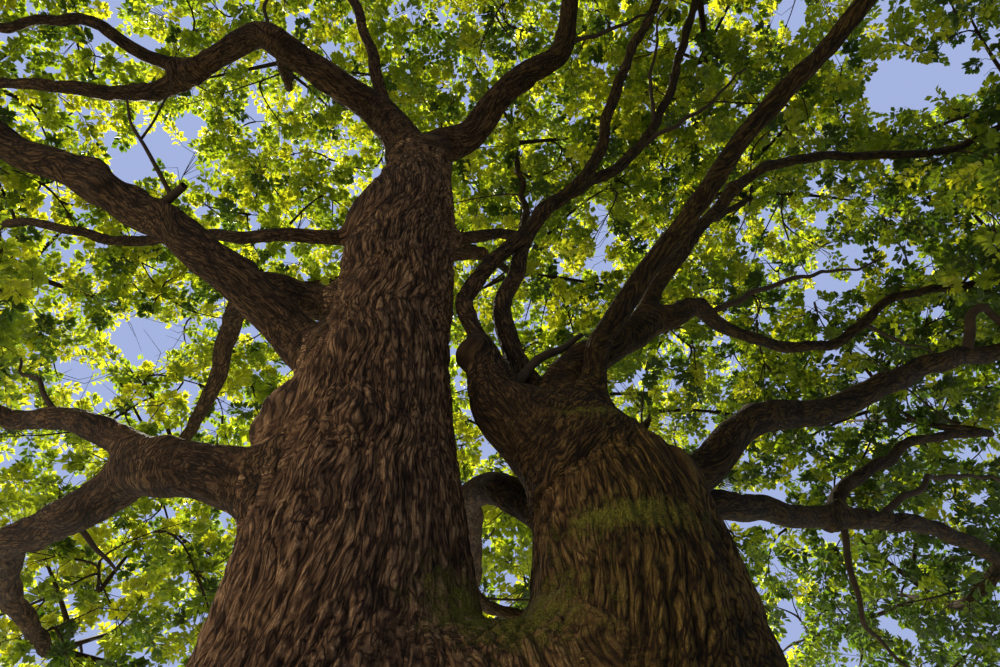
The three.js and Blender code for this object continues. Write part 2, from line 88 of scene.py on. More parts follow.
# The boughs, as the solids have them: parent, share of the parent's length, base and tip radius,
# reach of the mass of foliage at the tip, and course of (heading, rise, length). Millimetres.
BOUGHS = {
    "low_left": ("left_stem", 0.424, 175, 80, 2600, [
        (201, 3, 600), (167, 16, 850), (143, -1, 750), (143, 5, 1150), (119, 7, 1600), (112, 8, 2150)]),
    "low_left_upper": ("low_left", 0.19, 108, 62, 2600, [
        (162, 33, 850), (154, 25, 850), (159, 22, 800), (201, 18, 800), (175, 15, 1150)]),
    "great_left": ("left_stem", 0.53, 180, 125, 2700, [
        (181, 45, 900), (199, 36, 350), (204, 40, 400), (199, 35, 450), (193, 33, 600), (192, 29, 850),
        (185, 27, 950), (225, 15, 1500), (219, 21, 1350)]),
    "great_left_front": ("great_left", 0.78, 80, 48, 2500, [
        (279, -9, 900), (279, -5, 1200), (282, -21, 1100)]),
    "back_left": ("left_stem", 0.671, 145, 70, 2800, [
        (173, 16, 800), (167, 38, 500), (131, 26, 1050), (119, 8, 1950), (123, 11, 2500)]),
    "thin_left": ("left_stem", 0.811, 68, 52, 2500, [
        (180, 1, 1100), (160, 27, 1300), (160, 19, 1100), (166, 28, 1400), (164, 25, 1700),
        (124, 18, 1000)]),
    "crown_left": ("left_stem", 0.988, 200, 60, 2500, [
        (211, 53, 800), (212, 19, 900), (209, 15, 700), (165, 4, 400), (154, 6, 1350), (173, 21, 1500),
        (173, 20, 1200), (160, 36, 800)]),
    "crown_left_upper": ("crown_left", 0.455, 78, 55, 2400, [
        (192, 18, 550), (199, 27, 800), (175, 25, 850), (169, 22, 1000), (240, 20, 950)]),
    "crown_left_back": ("crown_left", 0.3, 56, 44, 3200, [
        (106, 42, 1200), (130, 66, 1350), (135, 62, 1200)]),
    "crown_upright": ("crown_left", 0.09, 80, 48, 3000, [
        (218, 62, 300), (229, 68, 1100), (215, 68, 1150), (225, 64, 1450), (233, 61, 1050)]),
    "crown_right": ("left_stem", 0.988, 200, 75, 2800, [
        (3, 74, 600), (352, 34, 500), (326, 46, 800), (342, 39, 750), (301, 61, 550), (274, 53, 900),
        (252, 14, 2050)]),
    "behind_left": ("left_stem", 0.794, 62, 46, 3300, [
        (12, 26, 700), (46, 50, 700), (74, 54, 1650), (84, 72, 1900), (104, 81, 1400)]),
    "back_high": ("left_stem", 0.86, 95, 55, 3000, [(80, 42, 1150), (66, 45, 1700), (69, 40, 1700)]),
    "back_left_high": ("back_high", 0.62, 62, 46, 2800, [
        (151, 22, 1650), (147, 25, 1450), (154, 19, 950)]),
    "back_mid": ("left_stem", 0.564, 105, 55, 2400, [(96, 21, 1500), (99, 27, 1800), (97, 26, 1800)]),
    "burl_limb": ("right_stem", 0.868, 290, 55, 3000, [
        (191, 39, 850), (194, 68, 400), (161, 77, 600), (29, 79, 500), (24, 62, 950), (359, 59, 1450),
        (323, 68, 1950), (332, 65, 1350), (296, 57, 1850)]),
    "middle_limb": ("right_stem", 0.954, 84, 54, 3300, [
        (183, 58, 750), (155, 79, 700), (53, 79, 600), (21, 73, 1300), (13, 53, 1800), (357, 63, 1600),
        (334, 69, 3000), (64, 31, 750)]),
    "long_bough": ("right_stem", 0.967, 82, 74, 2700, [
        (300, 59, 350), (299, 68, 350), (325, 50, 650), (331, 43, 850), (322, 45, 700), (329, 35, 850),
        (325, 39, 700), (303, 33, 2600)]),
    "front_mid": ("long_bough", 0.76, 62, 45, 2600, [(208, -16, 1350), (252, 18, 1300), (255, 10, 1200)]),
    "upper_right": ("right_stem", 0.934, 130, 50, 2700, [
        (193, 65, 500), (357, 57, 350), (10, 40, 750), (23, 39, 900), (53, 17, 650), (27, 19, 1700),
        (6, 39, 1400), (13, 27, 1050), (16, 24, 1500)]),
    "upper_right_up": ("upper_right", 0.175, 66, 48, 3000, [
        (1, 66, 650), (4, 58, 1100), (1, 51, 1250), (12, 36, 1250), (15, 27, 1650), (13, 27, 1100),
        (3, 33, 1400)]),
    "back_far_right": ("upper_right_up", 0.3, 54, 45, 3000, [
        (72, 45, 1800), (41, 52, 1900), (45, 52, 1400)]),
    "right_bough": ("right_stem", 0.803, 128, 84, 2500, [
        (15, 35, 850), (11, 45, 650), (24, 25, 700), (18, 29, 800), (17, 30, 1650), (21, 25, 1150),
        (330, 19, 1350)]),
    "lower_right": ("right_stem", 0.75, 106, 74, 2900, [
        (32, 33, 1050), (38, 17, 1750), (34, 16, 1550), (38, 11, 1500), (42, 6, 1100), (79, 4, 1050)]),
    "lower_right_spur": ("lower_right", 0.36, 66, 48, 2600, [
        (25, 53, 500), (30, 32, 1000), (27, 34, 1200), (28, 23, 2100), (86, 41, 1000)]),
    "back_bough": ("right_stem", 0.75, 135, 68, 2600, [
        (146, 39, 950), (122, 32, 600), (97, 18, 900), (88, 9, 2650), (46, 5, 950)]),
    "back_right": ("right_stem", 0.835, 105, 58, 3300, [(85, 35, 1500), (69, 40, 2900), (65, 44, 2650)]),
    "front_low_right": ("right_stem", 0.447, 130, 60, 2600, [
        (337, 2, 1300), (327, 15, 1350), (315, 50, 1950), (309, 42, 1900)]),
}

# Thin side branches that the solids leave out: parent, share of its length, base and tip radius,
# and course. Millimetres.
SHOOTS = {
    "dead_stub": ("great_left", 0.369, 48, 34, [(334, 14, 400)]),
    "dead_twig": ("dead_stub", 0.644, 22, 9, [(235, 38, 550), (220, 48, 450)]),
    "dead_twig_right": ("dead_twig", 0.558, 12, 6, [(310, 58, 300), (255, 65, 550)]),
    "crown_sprout": ("crown_left", 0.32, 26, 12, [(262, 78, 350), (222, 69, 800)]),
    "crown_right_side": ("crown_right", 0.457, 34, 14, [(357, 30, 600), (355, 45, 1300)]),
    "middle_side": ("middle_limb", 0.524, 34, 14, [(353, 40, 1000), (351, 50, 1650)]),
    "middle_side_high": ("middle_limb", 0.59, 30, 12, [(281, 69, 1200), (311, 68, 1250)]),
    "right_thin": ("upper_right", 0.307, 30, 12, [(11, 33, 1200), (17, 31, 1800)]),
    "right_thin_low": ("upper_right", 0.636, 26, 12, [(32, 6, 700), (30, 13, 800)]),
    "right_fork": ("right_bough", 0.705, 55, 26, [(319, 57, 550), (27, 11, 700), (14, 21, 950)]),
    "lower_side": ("lower_right", 0.462, 40, 16, [(17, 38, 650), (25, 30, 850), (29, 14, 1400)]),
    "drooping": ("lower_right", 0.381, 34, 14, [(74, -43, 250), (81, -44, 500), (45, -18, 850)]),
    "fork_twig": ("burl_limb", 0.091, 45, 20, [(4, 52, 500), (27, 49, 550)]),
    "low_left_side": ("low_left", 0.347, 28, 10, [(85, 6, 400), (99, -1, 450)]),
    "low_upper_side": ("low_left_upper", 0.342, 28, 10, [(176, 48, 550), (163, 39, 650)]),
}

# Limbs with a thick base: the share of their length that keeps it, and their radius beyond it.
SWELLINGS = {"burl_limb": (0.16, 75), "upper_right": (0.42, 64)}
SWELLING_END = 0.8  # share of the swelling over which it dies out
COLLAR = 0.25  # how much thicker a bough is where it leaves its parent
COLLAR_LENGTH = 1.6  # in base radii
TAPER = 1.5

# The masses of foliage, by the same rule as the solids.
MASS_FLATNESS = 0.78
MASS_AHEAD = 0.5
MASS_LIFT = 0.16
BRANCHES = 6
STEM_JOINTS = 3
STEM_TOP = 0.2
GOLDEN_ANGLE = 137.5
HEADING_SPREAD = 40
LOWEST_RISE = -35
HIGHEST_RISE = 85
BRANCH_REACH = 0.6
REACH_SPREAD = 0.1
LEAF_PLACES = 3
FIRST_SEED = 1847
SEED_STEP = 97
SPACE_GAP = 0.03

# What the rule is carried on to here: finer branches, twigs on them, leaves on the twigs.
# Each aims at a place of its own in the mass, turned on by the golden angle from the one before.
RISE_STEP = 0.7548776662  # spread the aims evenly over heights and over distances
SHELL_STEP = 0.5698402909
HIGHEST_AIM = 0.96  # as a share of the mass's height
HEADING_JITTER = 12
FINE_BRANCHES = 56
FINE_SHELLS = (0.35, 0.9)  # nearest and furthest aims, as shares of the reach
SHORTEST_FINE = 0.3
TWIGS = 420  # in a mass of middling reach; a wider one has more
MIDDLING_REACH = 2.6
TWIG_SHELLS = (0.12, 0.97)
TWIG_LENGTHS = (0.08, 1.3)  # shortest and longest
TURN_COST = 0.35  # how much longer a way seems that turns back
STOUTEST_BEARING = 0.13  # radius up to which a bough that runs through a mass bears twigs too
FINE_CLEAR, TWIG_CLEAR, LEAF_CLEAR = 0.03, 0.05, 0.03  # least distances from the bark
OVERHANG = (0.28, 0.42)  # how far twig ends and leaf tips may pass the solids' box

# Tubes: radius at the start and at the end, and sides. A mass's stem takes its bough's girth.
MASS_STEM = (0.97, 0.37, 8)
BRANCH_TUBE = (0.042, 0.016, 6)
FINE_TUBE = (0.022, 0.009, 4)
TWIG_RADII = (0.0065, 0.005, 0.0025)
TWIG_SIDES = 3
SHOOT_SIDES = 8
BRANCH_SWAY, BRANCH_LIFT, FINE_SWAY = 0.12, 0.1, 0.07
SHOOT_CROOKS = (2.4, 0.09)  # small bends of a side branch: how quickly, and how far

# Leaves: a blade of two faces, folded along its middle. Outline: along, across, height of the fold.
LEAF_OUTLINE = [(0, 0, 0), (0.62, -0.33, 0.10), (1, 0, -0.06), (0.54, 0.33, 0.10)]
LEAF_SIZE = (0.095, 0.14)
STALK = (0.015, 0.06)
LEAVES = 34  # on each twig
ROSETTE = 11  # those of them that stand round its tip
FIRST_LEAF, LEAVES_SPREAD = 0.12, 0.85  # where the others stand along the twig
TIP_LEAN = (0.35, 1.25)  # away from the twig, in radians
SIDE_LEAN = (0.8, 1.3)
LEAF_TURN, LEAF_TILT, LEAF_LIFT = 0.4, 0.45, 0.1

# Triangles at which a joined piece is finished, so that the next mass doesn't take it past 200,000.
ENOUGH_LEAVES = 147000
ENOUGH_WOOD = 175000

# The camera: place, degrees above level, and focal length on a sensor 36 wide, in millimetres.
VIEWPOINT = (0.0, -3.6, 1.2)
PITCH = 46
LENS = 24
SENSOR = 36

# Gaps in the foliage through which the photograph shows the sky: middle and half size, in pixels of
# the photograph, and the share of the twigs that are left out there.
PHOTO_WIDTH, PHOTO_HEIGHT = 1000, 667
SKY_GAPS = {
    "right_of_top": (905, 84, 44, 26, 1.0),
    "far_right_of_top": (972, 68, 24, 22, 0.6),
    "top_edge": (792, 12, 16, 16, 0.7),
    "under_upper_right": (835, 270, 30, 16, 0.6),
    "split_slot": (601, 240, 8, 50, 0.8),
    "beside_split": (575, 268, 22, 14, 0.5),
    "left_cloud": (192, 168, 28, 18, 0.8),
    "left_middle": (150, 340, 40, 26, 0.8),
    "far_left_middle": (90, 375, 34, 24, 0.6),
    "left_slot": (226, 268, 18, 18, 0.5),
    "top_middle": (412, 14, 24, 14, 0.6),
    "over_low_bough": (775, 628, 26, 22, 0.5),
    "lower_right_corner": (972, 640, 26, 26, 0.3),
}

# The bark: ridges that run along each limb, part and join again, and wind round knots.
RIDGE_STRETCH = 6.5  # length of a ridge against the distance between ridges
STEM_RIDGES = 0.029  # distance between fine ridges on the foot and stems
COARSE = 3.0  # broad ridges, which the mesh has, against the fine ones
SLOW_WINDING = (1.1, 0.13)  # how quickly the ridges wind, and how far in metres
QUICK_WINDING = (3.6, 0.10)
NOISE_SEED = 5  # without one, noise vectors would differ from run to run
SIDESTEP = Vector((7.3, 2.9, 5.1))
SAMPLE_GAP = 0.08  # distance between samples of a limb's axis
HIDDEN = 0.09  # depth inside another limb past which a face is left out
KNOT_GAP = 0.45  # length of limb for each knot
LUMP_STEEPNESS = 2.6  # of knots and burls: above 2, flatter on top and steeper at the side
LUMPS = 0.14  # unevenness of a limb as a share of its radius
CROOKS = (1.6, 0.06)  # small bends of a bough: how quickly, and how far in metres
SADDLE_DROP = 0.08  # the bark's saddle lies this much under the plain foot's top
SIDES = (10, 440)  # fewest and most faces round a limb
WRINKLED = 0.3  # distance from another limb within which the bark is wrinkled
FOOT_WRINKLES = 0.2
FOOT_LUMPS = 0.06
ROOT_SHOWN = 1.2  # length of a bough's root that its parent's bark runs out to meet
SMALL_ROOT_SHOWN = 0.5

# How finely bark is made: gap between rings and round the limb, distance between fine ridges, depth
# of the broad ones, and the distance over which it runs into other limbs.
FOOT_SKIN = dict(rings=72, dome_rings=66, sides=680, spacing=STEM_RIDGES, depth=0.034, softness=0.06)
LEFT_SKIN = dict(gap=0.036, around=0.0145, spacing=STEM_RIDGES, depth=0.034, softness=0.05)
RIGHT_SKIN = dict(gap=0.034, around=0.0125, spacing=STEM_RIDGES, depth=0.034, softness=0.05)
BOUGH_SKIN = dict(gap=0.045, around=0.016, spacing=0.025)
BOUGH_DEPTH = (0.005, 0.05)  # least depth of relief, and what each metre of base radius adds
BOUGH_SOFTNESS = (0.01, 0.22)

# Bark colours, from the bottom of a furrow to the top of a ridge, and what drifts over them. The dark furrow
# ends are partly the bark's tone and partly painted shade in the furrows.
STEM_TONE_AND_FURROW_SHADE = [(0.0, (0.012, 0.007, 0.004)), (0.35, (0.066, 0.038, 0.019)), (0.8, (0.165, 0.102, 0.052)),
               (1.0, (0.25, 0.17, 0.095))]
# The boughs' colours: the stems' darkened to under half, as painted shade on the boughs under the crown,
# with painted shade in the furrows too.
BOUGH_TONE_AND_PAINTED_SHADE = [(0.0, (0.008, 0.005, 0.002)), (0.4, (0.034, 0.020, 0.009)), (1.0, (0.105, 0.066, 0.031))]
ALGAE_AND_SHADE_TINT = (0.62, 0.66, 0.30)  # olive algae tint of the right side, which also darkens it as painted shade, and from where to where along X it sets in
ALGAE_AND_SHADE_EDGE = (-0.4, 0.7)
# Painted shade in the furrows of the broad ridges that the mesh has: the bark is darker where its relief is
# low.
BROAD_FURROW_SHADE = [(0.0, (0.35, 0.32, 0.30)), (0.5, (1.0, 1.0, 1.0))]
PATCH_SHADES = [(0.35, (0.62, 0.56, 0.52)), (0.65, (1.25, 1.2, 1.12))]
DRIFT_SHADES = [(0.35, (0.80, 0.76, 0.74)), (0.65, (1.15, 1.05, 0.92))]
MOSS_SHADES = [(0.35, (0.020, 0.020, 0.003)), (0.65, (0.135, 0.125, 0.012))]
TWIG_SHADES = [(0.0, (0.010, 0.007, 0.004)), (1.0, (0.052, 0.034, 0.018))]
RIDGE_DEPTH = 0.008  # of the fine ridges, which the shading has
BARK_FINISH = {"Roughness": 0.9, "Specular IOR Level": 0.12}

# The bark's shading: scale and sharpness of ridges, and scale, detail and roughness of noises.
FINE_RIDGES = (1.0, 7.5)
FINER_RIDGES = (2.3, 6.0)
WRINKLES = (1.1, 6.5)
WRINKLE_WIDTH = 0.22
CRUMBS = (110, 3.0, 0.6)
PATCHES = (5.0, 5.0, 0.6)
DRIFT = (1.5, 4.0, 0.6)
TUFTS = (16, 5.0, 0.7)
SWAY = (1.7, 1.7, 0.5)  # of the ridges, in distances between them

# Moss on the saddle and the right stem: middle, size each way and strength, in metres.
MOSS_PLACES = [
    ((-0.02, -0.35, 2.6), (0.50, 0.6, 0.30), 1.0),
    ((0.66, -0.60, 3.05), (0.55, 0.4, 0.11), 0.9),
    ((0.60, -0.45, 3.85), (0.30, 0.4, 0.08), 0.8),
    ((0.70, -0.55, 2.60), (0.80, 0.6, 1.10), 0.22),
]

# Leaf greens, dealt out by spray: reflected colour, colour of the light let through, and the share of the
# sprays on the sunny side and on the shady side that have it. The sunny and shady sides are painted: bright
# greens go to the upper left and dark ones to the right and low down.
LEAF_GREENS = [
    ((0.056, 0.082, 0.007), (0.32, 0.44, 0.011), 0.24, 0.18),
    ((0.090, 0.124, 0.009), (0.53, 0.63, 0.016), 0.34, 0.06),
    ((0.130, 0.152, 0.012), (0.79, 0.80, 0.020), 0.28, 0.01),
    ((0.023, 0.040, 0.005), (0.10, 0.18, 0.008), 0.14, 0.75),
]

# From where to where, along X at this height, the painted sunny side turns into the painted shady one, and
# how far a metre of height moves that.
SUNNY = (0.0, 11.0)
SUNNY_HEIGHT = 8.5
SUNNY_TILT = 0.8

# Lights: strength, width in degrees, colour and the way they shine.
LIGHTS = [
    ("sun", 15, 6, (1.0, 0.93, 0.75), (0.45, -0.60, -0.66)),
    ("side_light", 2.0, 30, (1.0, 0.80, 0.60), (0.86, 0.5, -0.1)),
]
SKY_COLOUR = (0.50, 0.61, 1.0)
SKY_STRENGTH = 0.75
FLOOR_COLOUR = (0.42, 0.42, 0.40)
FLOOR_HALF = 60.0


def direction(heading, rise):
    level = math.cos(math.radians(rise))
    return np.array([
        level * math.cos(math.radians(heading)),
        level * math.sin(math.radians(heading)),
        math.sin(math.radians(rise)),
    ])


def random_stream(seed):
    """The repeatable random numbers of the solids."""
    state = seed
    while True:
        state = (state * 16807) % 2147483647
        yield state / 2147483647


def spline(corners, per_corner=20):
    """Points along the centripetal curve through the corners."""
    ends = [2 * corners[0] - corners[1], *corners, 2 * corners[-1] - corners[-2]]
    points = []
    for p0, p1, p2, p3 in zip(ends, ends[1:], ends[2:], ends[3:]):
        d0, d1, d2 = (math.sqrt(np.linalg.norm(b - a)) for a, b in ((p0, p1), (p1, p2), (p2, p3)))
        t1 = ((p1 - p0) / d0 - (p2 - p0) / (d0 + d1) + (p2 - p1) / d1) * d1
        t2 = ((p2 - p1) / d1 - (p3 - p1) / (d1 + d2) + (p3 - p2) / d2) * d1
        for u in np.arange(per_corner) / per_corner:
            square = (3 * (p2 - p1) - 2 * t1 - t2) * u ** 2
            cube = (2 * (p1 - p2) + t1 + t2) * u ** 3
            points.append(p1 + t1 * u + square + cube)
    points.append(corners[-1])
    return np.array(points)


def unit(vectors):
    return vectors / np.maximum(np.linalg.norm(vectors, axis=-1, keepdims=True), 1e-9)


class Path:
    """A curve by its points, read at shares of its length."""

    def __init__(self, points):
        self.points = points
        steps = np.linalg.norm(np.diff(points, axis=0), axis=1)
        self.along = np.concatenate([[0], np.cumsum(steps)])
        self.length = self.along[-1]

    def at(self, share):
        place = np.asarray(share) * self.length
        return np.stack([np.interp(place, self.along, self.points[:, i]) for i in range(3)], axis=-1)

    def tangent(self, share):
        step = 0.02 / self.length
        share = np.asarray(share)
        return unit(self.at(np.minimum(share + step, 1)) - self.at(np.maximum(share - step, 0)))

    def frames(self, shares):
        """Centres, tangents and two directions across that turn as little as they can."""
        tangents = self.tangent(shares)
        across = []
        normal = np.cross(tangents[0], [0.3, 1.0, 0.2])
        for tangent in tangents:
            normal = unit(normal - tangent * np.dot(normal, tangent))
            across.append(normal)
        across = np.array(across)
        return self.at(shares), tangents, across, np.cross(tangents, across)


def course_points(start, course):
    points = [np.array(start, float)]
    for heading, rise, length in course:
        points.append(points[-1] + direction(heading, rise) * length)
    return spline([point * MM for point in points])


def smooth_step(x, low=0.0, high=1.0):
    x = np.clip((np.asarray(x, float) - low) / (high - low), 0, 1)
    return x * x * (3 - 2 * x)


def stem_limb(name):
    stem = STEMS[name]
    limb = Path(course_points(stem["start"], stem["course"]))
    radii = np.array(stem["radii"]) * MM
    limb.radius_at = lambda u: np.interp(u, np.linspace(0, 1, len(radii)), radii)
    limb.name = name
    return limb


def bough_limb(name, parent):
    _, at, base, tip, _, course = BOUGHS[name]
    limb = Path(course_points(parent.at(at) / MM, course))
    base, tip = base * MM, tip * MM
    buried = float(parent.radius_at(at))
    swelling, slim = SWELLINGS.get(name, (0, base / MM))
    slim *= MM

    def radius_at(u):
        radius = tip + (slim - tip) * (1 - u) ** TAPER
        if swelling:
            return radius + (base - slim) * smooth_step(1 - u / swelling, 0, SWELLING_END)
        past = np.maximum(0, u * limb.length - buried)
        return radius * (1 + COLLAR * np.exp(-past / (COLLAR_LENGTH * base)))

    limb.radius_at = radius_at
    limb.name = name
    limb.buried = buried
    return limb


limbs = {name: stem_limb(name) for name in STEMS}
for name, (parent, *_) in BOUGHS.items():
    limbs[name] = bough_limb(name, limbs[parent])


def shoot_limb(name, parent):
    _, at, base, tip, course = SHOOTS[name]
    limb = Path(course_points(parent.at(at) / MM, course))
    limb.radius_at = lambda u: (base + (tip - base) * np.asarray(u)) * MM
    return limb


shoots = {}
for name, (parent, *_) in SHOOTS.items():
    shoots[name] = shoot_limb(name, shoots[parent] if parent in shoots else limbs[parent])


# Meshes

def mesh_piece(name, vertices, faces, material, smooth=True):
    """A piece from an array of vertices and one of triangles or quads."""
    mesh = bpy.data.meshes.new(name)
    count, corners = faces.shape
    mesh.vertices.add(len(vertices))
    mesh.vertices.foreach_set("co", np.asarray(vertices, np.float32).ravel())
    mesh.loops.add(count * corners)
    mesh.loops.foreach_set("vertex_index", faces.astype(np.int32).ravel())
    mesh.polygons.add(count)
    mesh.polygons.foreach_set("loop_start", np.arange(0, count * corners, corners, dtype=np.int32))
    mesh.polygons.foreach_set("use_smooth", np.full(count, smooth))
    mesh.materials.append(material)
    mesh.update(calc_edges=True)
    piece = bpy.data.objects.new(name, mesh)
    bpy.context.scene.collection.objects.link(piece)
    return piece


def add_values(piece, name, values, kind="FLOAT", field="value"):
    layer = piece.data.attributes.new(name, kind, "POINT")
    layer.data.foreach_set(field, values.astype(np.float32).ravel())


def ring_faces(rings, sides):
    """Quads between rings of equal count."""
    low = np.arange(rings - 1)[:, None] * sides
    here = np.arange(sides)
    after = (here + 1) % sides
    quads = np.stack([low + here, low + after, low + sides + after, low + sides + here], axis=-1)
    return quads.reshape(-1, 4)


def round_angles(sides):
    return np.linspace(0, 2 * math.pi, sides, endpoint=False)


def spokes(across, beside, angles):
    """Directions out from each centre, one at each angle."""
    return (across[:, None] * np.cos(angles)[None, :, None]
            + beside[:, None] * np.sin(angles)[None, :, None])


noise.seed_set(NOISE_SEED)


def unevenness(places, scale):
    """A smoothly changing random number at each place."""
    return np.array([noise.noise(Vector(place) * scale) for place in places.tolist()])


def small_bends(places, scale, reach):
    """A smoothly changing random shift at each place."""
    return np.array([noise.noise_vector(Vector(place) * scale)[:] for place in places.tolist()]) * reach


def winding(places):
    """Places straightened along a limb, with the ridges' winding added to them."""
    slow, slow_reach = SLOW_WINDING
    quick, quick_reach = QUICK_WINDING
    moved = []
    for place in places.tolist():
        at = Vector(place)
        wild = max(0.0, noise.noise(at * 0.9 + SIDESTEP) + 0.25)
        shift = noise.noise_vector(at * slow) * slow_reach
        shift += noise.noise_vector(at * quick) * quick_reach * wild
        moved.append((place[0] + shift.x, place[1] + shift.y, place[2] + 0.5 * shift.z))
    return np.array(moved)


def broad_relief(grain):
    """Height of the broad ridges, from 0 in a furrow to 1 on a ridge."""
    heights = []
    for place in grain.tolist():
        at = Vector(place) / COARSE
        broad = min(1.0, abs(noise.noise(at)) * 3.2)
        narrow = min(1.0, abs(noise.noise(at * COARSE + SIDESTEP)) * 3.0)
        heights.append(broad * (0.6 + 0.4 * narrow))
    return np.array(heights)


# Materials

def shader_tree(name):
    material = bpy.data.materials.new(name)
    material.use_nodes = True
    tree = material.node_tree
    tree.nodes.clear()
    return material, tree


def add_node(tree, kind, inputs, **settings):
    """A shader node with its settings. Each input is a number, a colour or another node's output."""
    node = tree.nodes.new(f"ShaderNode{kind}")
    for name, value in settings.items():
        setattr(node, name, value)
    for name, value in inputs.items():
        socket = node.inputs[name]
        if isinstance(value, bpy.types.NodeSocket):
            tree.links.new(value, socket)
        elif isinstance(value, tuple) and len(value) < len(socket.default_value):
            socket.default_value = (*value, 1)
        else:
            socket.default_value = value
    return node


def show(tree, shader):
    add_node(tree, "OutputMaterial", {"Surface": shader.outputs[0]})


def ramp(tree, value, stops):
    """A colour ramp over a value, from (position, colour) pairs."""
    node = add_node(tree, "ValToRGB", {"Fac": value})
    elements = node.color_ramp.elements
    while len(elements) < len(stops):
        elements.new(0.5)
    for element, (position, colour) in zip(elements, stops):
        element.position = position
        element.color = (*colour, 1)
    return node.outputs["Color"]


def noise_value(tree, place, scale, detail=2.0, roughness=0.5):
    inputs = {"Vector": place, "Scale": scale, "Detail": detail, "Roughness": roughness}
    return add_node(tree, "TexNoise", inputs).outputs["Fac"]


def mixed(tree, blend, factor, first, second):
    inputs = {"Factor": factor, "A": first, "B": second}
    return add_node(tree, "Mix", inputs, data_type="RGBA", blend_type=blend).outputs["Result"]


def reckon(tree, operation, *values):
    """A sum over numbers and values in the tree."""
    return add_node(tree, "Math", dict(enumerate(values)), operation=operation).outputs["Value"]


def ridges(tree, grain, scale, sharpness):
    """Plateaus parted by narrow furrows, where a noise passes through its middle."""
    value = reckon(tree, "SUBTRACT", noise_value(tree, grain, scale, 1.0), 0.5)
    value = reckon(tree, "MULTIPLY", reckon(tree, "ABSOLUTE", value), sharpness)
    return reckon(tree, "MINIMUM", value, 1.0)


def stretched(tree, place, across, along):
    return add_node(tree, "Mapping", {"Vector": place, "Scale": (across, across, along)}).outputs["Vector"]


def attribute(tree, name):
    return add_node(tree, "Attribute", {}, attribute_name=name).outputs


def object_place(tree):
    return add_node(tree, "TexCoord", {}).outputs["Object"]


def ridge_height(tree):
    """Height of the fine ridges, which sway along the grain and are wrinkled where limbs meet."""
    grain = attribute(tree, "grain")["Vector"]
    sway = add_node(tree, "TexNoise", {"Vector": stretched(tree, grain, 1.0, 2.0), "Scale": 0.45})
    swayed = {0: sway.outputs["Color"], 1: SWAY, 2: grain}
    wavy = add_node(tree, "VectorMath", swayed, operation="MULTIPLY_ADD").outputs["Vector"]
    finer = reckon(tree, "MULTIPLY_ADD", ridges(tree, wavy, *FINER_RIDGES), 0.4, 0.6)
    along = reckon(tree, "MULTIPLY", ridges(tree, wavy, *FINE_RIDGES), finer)
    across = ridges(tree, stretched(tree, wavy, WRINKLE_WIDTH, RIDGE_STRETCH), *WRINKLES)
    wrinkled = attribute(tree, "wrinkled")["Fac"]
    return add_node(tree, "Mix", {"Factor": wrinkled, "A": along, "B": across}).outputs["Result"]


def wood_colour(tree, shades, place, crumbs, height):
    """From dark furrows, partly painted shade, to light ridges, with drifts of grey and rust, and an algae
    tint on the shady side that also darkens it as painted shade.
    """
    # Ridge height picks a colour from near-black furrows to light ridge tops: partly bark tone, partly
    # painted shade in the furrows.
    tone_and_furrow_shade = reckon(tree, "MULTIPLY", reckon(tree, "MULTIPLY_ADD", crumbs, 1.3, 0.3), height)
    wood = ramp(tree, tone_and_furrow_shade, shades)
    relief = attribute(tree, "relief")["Fac"]
    # Painted shade: the broad furrows of the mesh darken the bark.
    wood = mixed(tree, "MULTIPLY", 1.0, wood, ramp(tree, relief, BROAD_FURROW_SHADE))
    for blotches, tints in ((PATCHES, PATCH_SHADES), (DRIFT, DRIFT_SHADES)):
        wood = mixed(tree, "MULTIPLY", 0.8, wood, ramp(tree, noise_value(tree, place, *blotches), tints))
    # Olive algae tint that also darkens the right side as painted shade, rising along X.
    across = add_node(tree, "SeparateXYZ", {"Vector": place}).outputs["X"]
    low, high = ALGAE_AND_SHADE_EDGE
    shady = add_node(tree, "MapRange", {"Value": across, "From Min": low, "From Max": high})
    return mixed(tree, "MULTIPLY", shady.outputs["Result"], wood, ALGAE_AND_SHADE_TINT)


def moss_cover(tree, place):
    """The share of the bark that moss covers, in tufts, where the mesh says that it grows."""
    moss = attribute(tree, "moss")["Fac"]
    tufts = reckon(tree, "SUBTRACT", noise_value(tree, place, *TUFTS), 0.62)
    cover = reckon(tree, "MULTIPLY", reckon(tree, "MULTIPLY_ADD", tufts, 3.2, moss), moss)
    cover = reckon(tree, "MAXIMUM", reckon(tree, "MULTIPLY", cover, 1.5), 0.0)
    return reckon(tree, "MINIMUM", cover, 0.9)


def bark_material(name, shades):
    material, tree = shader_tree(name)
    place = object_place(tree)
    crumbs = noise_value(tree, place, *CRUMBS)
    height = ridge_height(tree)
    wood = wood_colour(tree, shades, place, crumbs, height)
    colour = mixed(tree, "MIX", moss_cover(tree, place), wood, ramp(tree, crumbs, MOSS_SHADES))
    rough = reckon(tree, "MULTIPLY_ADD", crumbs, 0.35, height)
    bump = add_node(tree, "Bump", {"Height": rough, "Strength": 1.0, "Distance": RIDGE_DEPTH})
    inputs = {"Base Color": colour, "Normal": bump.outputs["Normal"], **BARK_FINISH}
    show(tree, add_node(tree, "BsdfPrincipled", inputs))
    return material


def twig_material():
    material, tree = shader_tree("twig_bark")
    mottle = noise_value(tree, object_place(tree), 12)
    colour = ramp(tree, mottle, TWIG_SHADES)
    show(tree, add_node(tree, "BsdfPrincipled", {"Base Color": colour, **BARK_FINISH}))
    return material


def leaf_material(index, shown, let_through):
    """A leaf that shines a little above and lets yellow-green light through."""
    material, tree = shader_tree(f"leaf_green_{index + 1}")
    face = add_node(tree, "BsdfPrincipled", {"Base Color": shown, "Roughness": 0.5})
    through = add_node(tree, "BsdfTranslucent", {"Color": let_through})
    show(tree, add_node(tree, "MixShader", {"Fac": 0.5, 1: face.outputs[0], 2: through.outputs[0]}))
    return material


# Bark

